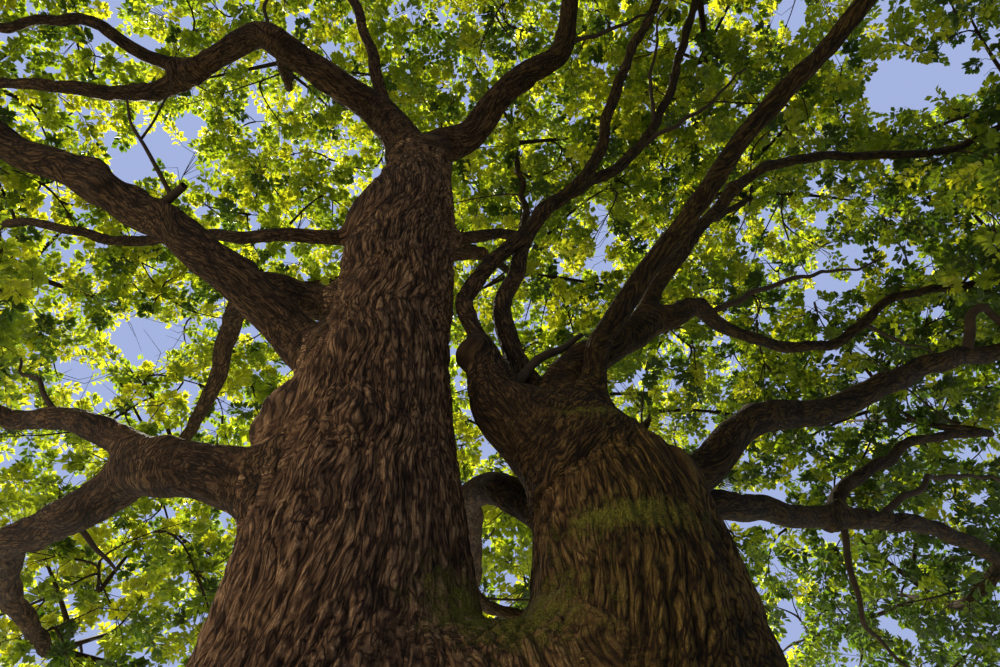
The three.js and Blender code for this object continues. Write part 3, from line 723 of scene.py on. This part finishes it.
def limb_distance(limb, points, longest=None):
    """How far each point lies outside a limb's plain skin, less than 0 inside."""
    length = min(longest or limb.length, limb.length)
    count = int(length / SAMPLE_GAP) + 2
    shares = np.linspace(0, length / limb.length, count)
    centres, tangents, radii = limb.at(shares), limb.tangent(shares), limb.radius_at(shares)
    half = length / (count - 1) / 2
    nearest = np.full(len(points), np.inf)
    for centre, tangent, radius in zip(centres, tangents, radii):
        offset = points - centre
        shift = np.clip(offset @ tangent, -half, half)
        away = np.linalg.norm(offset - shift[:, None] * tangent, axis=1) - radius
        nearest = np.minimum(nearest, away)
    return nearest


def foot_radius(angles, levels, top):
    """Half widths of the foot at angles round it and levels above the ground, in metres."""
    levels = np.clip(levels, 0, top) / MM
    flare = np.exp(-levels / FOOT["flare_height"])
    rise = np.maximum(0, (levels - FOOT["shoulder"]) / (top / MM - FOOT["shoulder"]))
    closing = np.sqrt(np.maximum(0, 1 - rise ** 2))
    lean = smooth_step(levels / FOOT["top"])
    depth = FOOT["half_depth"] + (FOOT["top_depth"] - FOOT["half_depth"]) * lean
    flute = 1 + FOOT["flute_depth"] * flare * np.cos(FOOT["flutes"] * angles + FOOT["flute_turn"])
    spread = FOOT["flare"] * flare * flute
    return (FOOT["half_width"] * closing + spread) * MM, (depth * closing + spread) * MM


def foot_distance(points):
    """How far each point lies outside the foot, roughly."""
    offset = points - [FOOT["centre_x"] * MM, 0, 0]
    angles = np.arctan2(offset[:, 1], offset[:, 0])
    wide, deep = foot_radius(angles, points[:, 2], FOOT["top"] * MM - SADDLE_DROP)
    own = np.hypot(offset[:, 0], offset[:, 1])
    across = np.cos(angles) / np.maximum(wide, 0.01)
    along = np.sin(angles) / np.maximum(deep, 0.01)
    edge = 1 / np.sqrt(across ** 2 + along ** 2)
    return np.maximum(own - edge, points[:, 2] - FOOT["top"] * MM + SADDLE_DROP)


def swell_to_meet(points, outward, distances, softness):
    """Moves a skin outward so that it runs smoothly into others, and tells what lies deep inside them."""
    moved = np.zeros(len(points))
    for _ in range(4):
        total = np.exp(-moved / softness)
        for distance in distances:
            total = total + np.exp(-np.clip(distance(points + outward * moved[:, None]) / softness, -30, 30))
        moved = np.clip(moved + softness * np.log(total), 0, 2.2 * softness)
    nearest = np.full(len(points), np.inf)
    for distance in distances:
        nearest = np.minimum(nearest, distance(points + outward * moved[:, None]))
    return points + outward * moved[:, None], nearest


def burls_of(limb, shares, across, beside):
    """Place along and round a limb, radius and height of each of its burls."""
    found = []
    for on, share, heading, out, radius in BURLS:
        if on == limb.name:
            ring = np.argmin(np.abs(shares - share))
            away = direction(heading, 0)
            angle = math.atan2(away @ beside[ring], away @ across[ring])
            height = (out + radius) * MM - float(limb.radius_at(share))
            found.append((share * limb.length, angle, radius * MM, height))
    return found


def knots_of(limb, rng):
    """The same for the lumps where old shoots were, scattered over a limb."""
    found = []
    for _ in range(int(limb.length / KNOT_GAP)):
        along = rng.uniform(0, limb.length)
        size = rng.uniform(0.35, 0.75) * min(float(limb.radius_at(along / limb.length)), 0.25)
        found.append((along, rng.uniform(0, 2 * math.pi), size, rng.uniform(0.15, 0.5) * size))
    return found


def raise_lumps(limb, flat, lumps):
    """How far lumps raise each place of a limb's skin, and how far they push the ridges aside."""
    raised = np.zeros(len(flat))
    aside = np.zeros(flat.shape)
    for along, angle, size, height in lumps:
        girth = float(limb.radius_at(along / limb.length))
        middle = np.array([girth * math.cos(angle), girth * math.sin(angle), along])
        away = np.linalg.norm(flat - middle, axis=1)
        raised += height * np.exp(-(away / size) ** LUMP_STEEPNESS)
        aside -= 0.55 * (flat - middle) * np.exp(-(away / (1.7 * size)) ** 2)[:, None]
    return raised, aside


def skin_piece(name, points, outward, faces, flat, nearest, look, depth, spacing, wrinkles=1.0):
    """A bark piece with its relief, without the faces that lie hidden inside the limbs it grows into."""
    grain = winding(flat) / [spacing, spacing, spacing * RIDGE_STRETCH]
    relief = broad_relief(grain)
    points = points + outward * (depth * (relief - 0.6))[:, None]
    points[:, 2] = np.maximum(points[:, 2], 0)
    hidden = nearest < -HIDDEN
    faces = faces[~hidden[faces].all(axis=1)]
    used = np.unique(faces)
    place = np.full(len(points), -1)
    place[used] = np.arange(len(used))
    piece = mesh_piece(f"{name}_bark", points[used], place[faces], look)
    add_values(piece, "relief", relief[used])
    add_values(piece, "moss", moss_at(points[used]))
    add_values(piece, "wrinkled", wrinkles * (1 - smooth_step(nearest[used], 0.0, WRINKLED)))
    add_values(piece, "grain", grain[used], "FLOAT_VECTOR", "vector")
    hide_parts(name)
    return piece


def moss_at(points):
    """How mossy each point is, from 0 to 1."""
    amount = np.zeros(len(points))
    for middle, size, strength in MOSS_PLACES:
        away = np.linalg.norm((points - middle) / size, axis=1)
        amount += strength * np.exp(-away ** 2)
    return np.clip(amount, 0, 1)


def crooks(limb, shares, centres):
    """Small bends of a bough, none where it starts and ends."""
    lengths = shares * limb.length
    free = smooth_step(lengths, limb.buried + 0.1, limb.buried + 0.8) * smooth_step(1 - shares, 0, 0.08)
    return small_bends(centres, *CROOKS) * free[:, None]


def limb_skin(name, others, look, gap, around, spacing, depth, softness):
    """The bark of a stem or bough, run out to meet the other limbs."""
    limb = limbs[name]
    rings = int(limb.length / gap) + 2
    lengths = np.linspace(0, limb.length, rings)
    shares = lengths / limb.length
    base = float(limb.radius_at(0.0))
    sides = int(np.clip(round(2 * math.pi * base / around), *SIDES))
    centres, _, across, beside = limb.frames(shares)
    if name in BOUGHS:
        centres = centres + crooks(limb, shares, centres)
    angles = round_angles(sides)
    outward = spokes(across, beside, angles).reshape(-1, 3)
    radii = np.repeat(limb.radius_at(shares), sides)
    angle = np.tile(angles, rings)
    flat = np.stack([radii * np.cos(angle), radii * np.sin(angle), np.repeat(lengths, sides)], axis=-1)
    rng = np.random.RandomState(len(name) * 31 + rings)
    uneven = unevenness(flat, 0.4 / max(base, 0.08))
    lumps = burls_of(limb, shares, across, beside) + knots_of(limb, rng)
    raised, aside = raise_lumps(limb, flat, lumps)
    points = np.repeat(centres, sides, axis=0) + outward * (radii * (1 + LUMPS * uneven) + raised)[:, None]
    points, nearest = swell_to_meet(points, outward, others, softness)
    faces = ring_faces(rings, sides)
    return skin_piece(name, points, outward, faces, flat + aside, nearest, look, depth, spacing)


def foot_skin(others, look, rings, dome_rings, sides, spacing, depth, softness):
    """The foot: straight rings up to its shoulder, then a dome between the stems."""
    top, shoulder = FOOT["top"] * MM - SADDLE_DROP, FOOT["shoulder"] * MM
    turn = np.linspace(0, math.pi / 2, dome_rings)[1:]
    levels = np.concatenate([np.linspace(0, shoulder, rings), shoulder + (top - shoulder) * np.sin(turn)])
    upward = np.concatenate([np.zeros(rings), np.sin(turn)])
    level = np.repeat(levels, sides)
    angle = np.tile(round_angles(sides), len(levels))
    wide, deep = foot_radius(angle, level, top)
    points = np.stack([FOOT["centre_x"] * MM + wide * np.cos(angle), deep * np.sin(angle), level], axis=-1)
    up = np.repeat(upward, sides)
    outward = unit(np.stack([np.cos(angle) * (1 - up), np.sin(angle) * (1 - up), up], axis=-1))
    flat = points.copy()
    uneven = unevenness(flat, 1.1)
    points = points + outward * (FOOT_LUMPS * uneven)[:, None]
    points, nearest = swell_to_meet(points, outward, others, softness)
    faces = ring_faces(len(levels), sides)
    return skin_piece("trunk", points, outward, faces, flat, nearest, look, depth, spacing, FOOT_WRINKLES)


def roots_of_boughs(parent, longest=ROOT_SHOWN):
    """Distances to the first stretch of each bough that leaves a limb."""
    names = [name for name, (on, *_) in BOUGHS.items() if on == parent]
    return [lambda points, name=name: limb_distance(limbs[name], points, longest + limbs[name].buried)
            for name in names]


def whole(name):
    return lambda points: limb_distance(limbs[name], points)


stem_bark = bark_material("stem_bark", STEM_TONE_AND_FURROW_SHADE)
# The boughs' bark is a darker copy of the stems' bark: painted shade on the boughs under the crown.
shade_darkened_bough_bark = bark_material("shade_darkened_bough_bark", BOUGH_TONE_AND_PAINTED_SHADE)
bark_pieces = [
    foot_skin([whole("left_stem"), whole("right_stem")], stem_bark, **FOOT_SKIN),
    limb_skin("left_stem", [foot_distance, whole("right_stem"), *roots_of_boughs("left_stem")],
              stem_bark, **LEFT_SKIN),
    limb_skin("right_stem", [foot_distance, whole("left_stem"), *roots_of_boughs("right_stem")],
              stem_bark, **RIGHT_SKIN),
]
for name, (parent, _, base, *_) in BOUGHS.items():
    others = [whole(parent), *roots_of_boughs(name, SMALL_ROOT_SHOWN)]
    depth, softness = (least + more * base * MM for least, more in (BOUGH_DEPTH, BOUGH_SOFTNESS))
    bark_pieces.append(limb_skin(name, others, shade_darkened_bough_bark, depth=depth, softness=softness, **BOUGH_SKIN))
for piece in bark_pieces:
    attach(piece, "root")


# Masses of foliage

class Mass:
    """The space of one mass: an upright ellipsoid ahead of and above the tip of its bough."""

    def __init__(self, name, index):
        limb = limbs[name]
        reach = BOUGHS[name][4] * MM
        self.name = name
        self.index = index
        self.reach = reach
        self.tip = limb.at(1.0)
        self.ahead = limb.tangent(1.0)
        self.girth = float(limb.radius_at(1.0))
        self.radii = np.array([reach, reach, reach * MASS_FLATNESS])
        self.centre = self.tip + self.ahead * reach * MASS_AHEAD + [0, 0, reach * MASS_LIFT]


masses = [Mass(name, index) for index, name in enumerate(BOUGHS)]
mass_centres = np.array([mass.centre for mass in masses])
mass_radii = np.array([mass.radii for mass in masses])


def owned(mass, points):
    """True for each point that lies in the mass's space and deeper in it than in any other."""
    points = np.atleast_2d(points)
    depths = np.linalg.norm((points[:, None] - mass_centres) / mass_radii, axis=2)
    own = depths[:, mass.index].copy()
    depths[:, mass.index] = np.inf
    return (own < 1) & (depths.min(axis=1) > own + SPACE_GAP)


def sampled(limb):
    """Points, directions and radii along a limb."""
    shares = np.linspace(0, 1, int(limb.length / 0.1) + 2)
    return limb.at(shares), limb.tangent(shares), limb.radius_at(shares)


samples = [sampled(limb) for limb in [*limbs.values(), *shoots.values()]]
limb_points, limb_tangents, limb_radii = (np.concatenate(parts) for parts in zip(*samples))


def clear_of_limbs(mass, points, gap):
    near = np.linalg.norm((limb_points - mass.centre) / mass.radii, axis=1) < 1.4
    if not near.any():
        return np.ones(len(points), bool)
    distance = np.linalg.norm(points[:, None] - limb_points[near], axis=2) - limb_radii[near]
    return distance.min(axis=1) > gap


def bezier(start, control, end, count):
    u = np.linspace(0, 1, count)[:, None]
    return (1 - u) ** 2 * start + 2 * u * (1 - u) * control + u ** 2 * end


def main_branches(mass):
    """The stem and branches that the solids have, drawn from the same random stream."""
    random = random_stream(FIRST_SEED + SEED_STEP * mass.index)
    root = mass.tip
    top = mass.centre + [0, 0, mass.radii[2] * STEM_TOP]
    bend = root + mass.ahead * np.linalg.norm(top - root) / 2
    stem = Path(bezier(root, bend, top, 13))
    branches = []
    for k in range(BRANCHES):
        share = (k + 0.5) / BRANCHES
        rise = LOWEST_RISE + (HIGHEST_RISE - LOWEST_RISE) * share
        away = direction(GOLDEN_ANGLE * k + HEADING_SPREAD * next(random), rise)
        target = mass.centre + away * mass.radii * (BRANCH_REACH + REACH_SPREAD * next(random))
        start = stem.at((1 + k % STEM_JOINTS) / STEM_JOINTS)
        for _ in range(2 * LEAF_PLACES):
            next(random)
        if owned(mass, np.array([(start + target) / 2, target])).all():
            branches.append((start, target))
    return stem, branches


def tube_points(points, radii, sides):
    """Vertices and triangles of an open tube through points."""
    path = Path(points)
    centres, _, across, beside = path.frames(path.along / path.length)
    ring = spokes(across, beside, round_angles(sides))
    vertices = centres[:, None] + ring * np.asarray(radii)[:, None, None]
    quads = ring_faces(len(points), sides)
    return vertices.reshape(-1, 3), np.vstack([quads[:, [0, 1, 2]], quads[:, [0, 2, 3]]])


def tapering_tube(points, base, tip, sides):
    return tube_points(points, np.linspace(base, tip, len(points)), sides)


class Bundle:
    """Vertices, triangles and the leaves' greens gathered for one joined piece."""

    def __init__(self):
        self.vertices = []
        self.faces = []
        self.greens = []
        self.count = 0
        self.triangles = 0

    def add(self, vertices, faces):
        self.vertices.append(vertices)
        self.faces.append(faces + self.count)
        self.count += len(vertices)
        self.triangles += len(faces)

    def piece(self, name, look, smooth):
        piece = mesh_piece(name, np.vstack(self.vertices), np.vstack(self.faces), look, smooth)
        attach(piece, "root")
        return piece


def aims(mass, count, shells, rng):
    """Places spread evenly through the mass, each turned on by the golden angle."""
    j = np.arange(count)
    heading = np.radians(GOLDEN_ANGLE * j + rng.uniform(-HEADING_JITTER, HEADING_JITTER, count))
    height = -HIGHEST_AIM + 2 * HIGHEST_AIM * ((j * RISE_STEP) % 1)
    level = np.sqrt(1 - height ** 2)
    near, far = shells
    shell = np.cbrt(near ** 3 + (far ** 3 - near ** 3) * ((j * SHELL_STEP) % 1))
    away = np.stack([level * np.cos(heading), level * np.sin(heading), height], axis=-1)
    return mass.centre + away * shell[:, None] * mass.radii


def inside(mass, points):
    return np.linalg.norm((points - mass.centre) / mass.radii, axis=-1) < 1


def in_box(points, overhang):
    low, high = np.array(cad_box[0]) - overhang, np.array(cad_box[1]) + overhang
    return ((points > low) & (points < high)).all(axis=-1)


def in_picture(points):
    """Where points stand in the photograph, in pixels from its upper left corner."""
    offset = points - np.array(VIEWPOINT)
    pitch = math.radians(PITCH)
    ahead = np.maximum(offset[:, 1] * math.cos(pitch) + offset[:, 2] * math.sin(pitch), 0.1)
    above = offset[:, 2] * math.cos(pitch) - offset[:, 1] * math.sin(pitch)
    scale = PHOTO_WIDTH * LENS / SENSOR / ahead
    return PHOTO_WIDTH / 2 + offset[:, 0] * scale, PHOTO_HEIGHT / 2 - above * scale


def left_open(points, chances):
    """True for the points that fall in a gap of the foliage, whose edge the chances make ragged."""
    across, down = in_picture(points)
    open_there = np.zeros(len(points), bool)
    for middle_x, middle_y, half_width, half_height, share in SKY_GAPS.values():
        away = np.hypot((across - middle_x) / half_width, (down - middle_y) / half_height)
        open_there |= (away < 0.55 + 0.75 * chances / share) & (chances < share)
    return open_there


def kept_aims(mass, count, shells, rng):
    targets = aims(mass, count, shells, rng)
    return targets[~left_open(targets, rng.uniform(size=len(targets)))]


class Skeleton:
    """Places on the branches from which finer ones can leave, with the way the branch runs there."""

    def __init__(self):
        self.points = np.zeros((0, 3))
        self.ahead = np.zeros((0, 3))

    def add(self, points, ahead):
        self.points = np.vstack([self.points, points])
        self.ahead = np.vstack([self.ahead, ahead])

    def add_curve(self, curve, shares):
        path = Path(curve)
        self.add(path.at(shares), path.tangent(shares))

    def nearest(self, target):
        """Where a branch to the target leaves: near it, and not turning back."""
        toward = target - self.points
        distance = np.linalg.norm(toward, axis=1)
        turn = 1 - (toward * self.ahead).sum(axis=1) / np.maximum(distance, 0.01)
        best = np.argmin(distance * (1 + TURN_COST * turn))
        return self.points[best], self.ahead[best], distance[best]


def grow_branches(mass, wood, rng):
    """The mass's stem and branches, and the skeleton that finer ones leave from."""
    stem, branches = main_branches(mass)
    base, tip, sides = MASS_STEM
    wood.add(*tapering_tube(stem.at(np.linspace(0, 1, 9)), mass.girth * base, mass.girth * tip, sides))
    skeleton = Skeleton()
    skeleton.add_curve(stem.points, np.linspace(0.2, 1, 9))
    bearing = inside(mass, limb_points) & (limb_radii < STOUTEST_BEARING)
    skeleton.add(limb_points[bearing], limb_tangents[bearing])
    for start, target in branches:
        sway = rng.uniform(-1, 1, 3) * BRANCH_SWAY
        curve = bezier(start, (start + target) / 2 + sway + [0, 0, BRANCH_LIFT], target, 8)
        wood.add(*tapering_tube(curve, *BRANCH_TUBE))
        skeleton.add_curve(curve, np.linspace(0.25, 1, 9))
    return skeleton


def grow_fine_branches(mass, skeleton, wood, rng):
    for target in kept_aims(mass, FINE_BRANCHES, FINE_SHELLS, rng):
        start, ahead, distance = skeleton.nearest(target)
        control = start + ahead * distance * 0.4 + rng.uniform(-1, 1, 3) * FINE_SWAY
        curve = bezier(start, control, target, 6)
        fits = in_box(target, OVERHANG[0]) and clear_of_limbs(mass, curve[2:], FINE_CLEAR).all()
        if distance > SHORTEST_FINE and fits:
            wood.add(*tapering_tube(curve, *FINE_TUBE))
            skeleton.add_curve(curve, np.linspace(0.3, 1, 6))


def grow_twigs(mass, skeleton, wood, rng):
    """Twigs, and where the part of each that bears leaves starts and ends."""
    starts, ends = [], []
    count = round(TWIGS * (mass.reach / MIDDLING_REACH) ** 2)
    shortest, longest = TWIG_LENGTHS
    for target in kept_aims(mass, count, TWIG_SHELLS, rng):
        start, ahead, distance = skeleton.nearest(target)
        fits = in_box(target, OVERHANG[0]) and clear_of_limbs(mass, target[None], TWIG_CLEAR)[0]
        if shortest < distance < longest and fits:
            middle = start + ahead * distance * 0.25 + (target - start) * 0.35
            wood.add(*tube_points(np.array([start, middle, target]), TWIG_RADII, TWIG_SIDES))
            starts.append(middle)
            ends.append(target)
    return np.array(starts), np.array(ends)


def deal_greens(ends, rng):
    """The green of each spray, by its number in the list, dealt as painted sun and shade: brighter on the
    upper left, darker on the right and low down.
    """
    sunny = np.cumsum([greens[2] for greens in LEAF_GREENS])
    shady = np.cumsum([greens[3] for greens in LEAF_GREENS])
    # Painted shade: the share of dark greens grows to the right and downward.
    shade = smooth_step(ends[:, 0] - SUNNY_TILT * (ends[:, 2] - SUNNY_HEIGHT), *SUNNY)[:, None]
    green = (rng.uniform(size=(len(ends), 1)) > sunny * (1 - shade) + shady * shade).sum(axis=1)
    return np.minimum(green, len(LEAF_GREENS) - 1)


LEAF_POINTS = np.array(LEAF_OUTLINE, float)
LEAF_FACES = np.array([(0, k, k + 1) for k in range(1, len(LEAF_OUTLINE) - 1)])


def blades(roots, sizes, along, across):
    """Vertices and triangles of leaves, each the outline placed at its root and turned its own way."""
    sides = np.stack([along, across, np.cross(along, across)], axis=1)
    vertices = roots[:, None] + sizes[:, None, None] * (LEAF_POINTS @ sides)
    faces = LEAF_FACES[None] + (np.arange(len(roots)) * len(LEAF_POINTS))[:, None, None]
    return vertices.reshape(-1, 3), faces.reshape(-1, 3)


def grow_leaves(mass, starts, ends, rng, leaves):
    """Leaves along each twig and in a rosette round its tip."""
    count = len(starts)
    axis = unit(ends - starts)
    side = unit(np.cross(axis, rng.normal(size=(count, 3))))
    other = np.cross(axis, side)
    green = deal_greens(ends, rng)
    chance = rng.uniform(size=count)
    for k in range(LEAVES):
        at_tip = k < ROSETTE
        share = 1.0 if at_tip else FIRST_LEAF + LEAVES_SPREAD * (k - ROSETTE) / (LEAVES - ROSETTE)
        turn = math.radians(GOLDEN_ANGLE * k) + rng.uniform(-LEAF_TURN, LEAF_TURN, count)
        lean = rng.uniform(*(TIP_LEAN if at_tip else SIDE_LEAN), count)
        out = side * np.cos(turn)[:, None] + other * np.sin(turn)[:, None]
        along = unit(axis * np.cos(lean)[:, None] + out * np.sin(lean)[:, None] + [0, 0, LEAF_LIFT])
        up = np.array([0, 0, 1.0]) + rng.normal(scale=LEAF_TILT, size=(count, 3))
        across = unit(np.cross(up, along))
        size = rng.uniform(*LEAF_SIZE, count)
        root = starts + (ends - starts) * share + along * rng.uniform(*STALK, count)[:, None]
        tip = root + along * size[:, None]
        kept = inside(mass, tip) & in_box(tip, OVERHANG[1]) & clear_of_limbs(mass, tip, LEAF_CLEAR)
        kept &= ~left_open(tip, chance)
        leaves.add(*blades(root[kept], size[kept], along[kept], across[kept]))
        leaves.greens.append(np.repeat(green[kept], len(LEAF_FACES)))


def grow(mass, wood, leaves):
    rng = np.random.RandomState(FIRST_SEED + mass.index)
    skeleton = grow_branches(mass, wood, rng)
    grow_fine_branches(mass, skeleton, wood, rng)
    starts, ends = grow_twigs(mass, skeleton, wood, rng)
    grow_leaves(mass, starts, ends, rng, leaves)


def finish_leaves(bundle, name, nodes):
    piece = bundle.piece(name, leaf_looks[0], smooth=False)
    for look in leaf_looks[1:]:
        piece.data.materials.append(look)
    piece.data.polygons.foreach_set("material_index", np.concatenate(bundle.greens).astype(np.int32))
    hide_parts(*nodes)


def shoot_tube(limb):
    """A thin side branch, with bends of its own past its root."""
    shares = np.linspace(0, 1, int(limb.length / SAMPLE_GAP) + 3)
    points = limb.at(shares)
    free = smooth_step(shares * limb.length, 0.1, 0.5)
    points = points + small_bends(points, *SHOOT_CROOKS) * free[:, None]
    return tube_points(points, limb.radius_at(shares), SHOOT_SIDES)


wood_look = twig_material()
leaf_looks = [leaf_material(i, shown, through) for i, (shown, through, *_) in enumerate(LEAF_GREENS)]
wood, leaves, nodes = Bundle(), Bundle(), []
for shoot in shoots.values():
    wood.add(*shoot_tube(shoot))
wood_number = leaf_number = 1
for mass in masses:
    grow(mass, wood, leaves)
    nodes.append(f"{mass.name}_leaves")
    last = mass is masses[-1]
    if leaves.triangles > ENOUGH_LEAVES or last:
        finish_leaves(leaves, f"leaves_{leaf_number}", nodes)
        leaves, nodes = Bundle(), []
        leaf_number += 1
    if wood.triangles > ENOUGH_WOOD or last:
        wood.piece(f"twigs_{wood_number}", wood_look, smooth=True)
        wood = Bundle()
        wood_number += 1


# Camera, light and floor

def set_camera():
    data = bpy.data.cameras.new("view")
    data.lens = LENS
    data.sensor_width = SENSOR
    data.clip_end = 500
    camera = bpy.data.objects.new("view", data)
    camera.location = VIEWPOINT
    camera.rotation_euler = (math.radians(90 + PITCH), 0, 0)
    bpy.context.scene.collection.objects.link(camera)
    bpy.context.scene.camera = camera


def set_light():
    world = bpy.data.worlds.new("sky")
    world.use_nodes = True
    background = world.node_tree.nodes["Background"]
    background.inputs["Color"].default_value = (*SKY_COLOUR, 1)
    background.inputs["Strength"].default_value = SKY_STRENGTH
    bpy.context.scene.world = world
    for name, energy, width, colour, heading in LIGHTS:
        data = bpy.data.lights.new(name, "SUN")
        data.energy = energy
        data.angle = math.radians(width)
        data.color = colour
        light = bpy.data.objects.new(name, data)
        light.rotation_euler = Vector(heading).to_track_quat("-Z", "Y").to_euler()
        bpy.context.scene.collection.objects.link(light)


def set_floor():
    material, tree = shader_tree("floor_paint")
    show(tree, add_node(tree, "BsdfPrincipled", {"Base Color": FLOOR_COLOUR, "Roughness": 0.9}))
    half = FLOOR_HALF
    corners = np.array([(-half, -half, 0), (half, -half, 0), (half, half, 0), (-half, half, 0)])
    floor = mesh_piece("floor", corners, np.array([[0, 1, 2, 3]]), material)


bpy.context.scene.view_settings.view_transform = "Standard"
set_camera()
set_light()
set_floor()
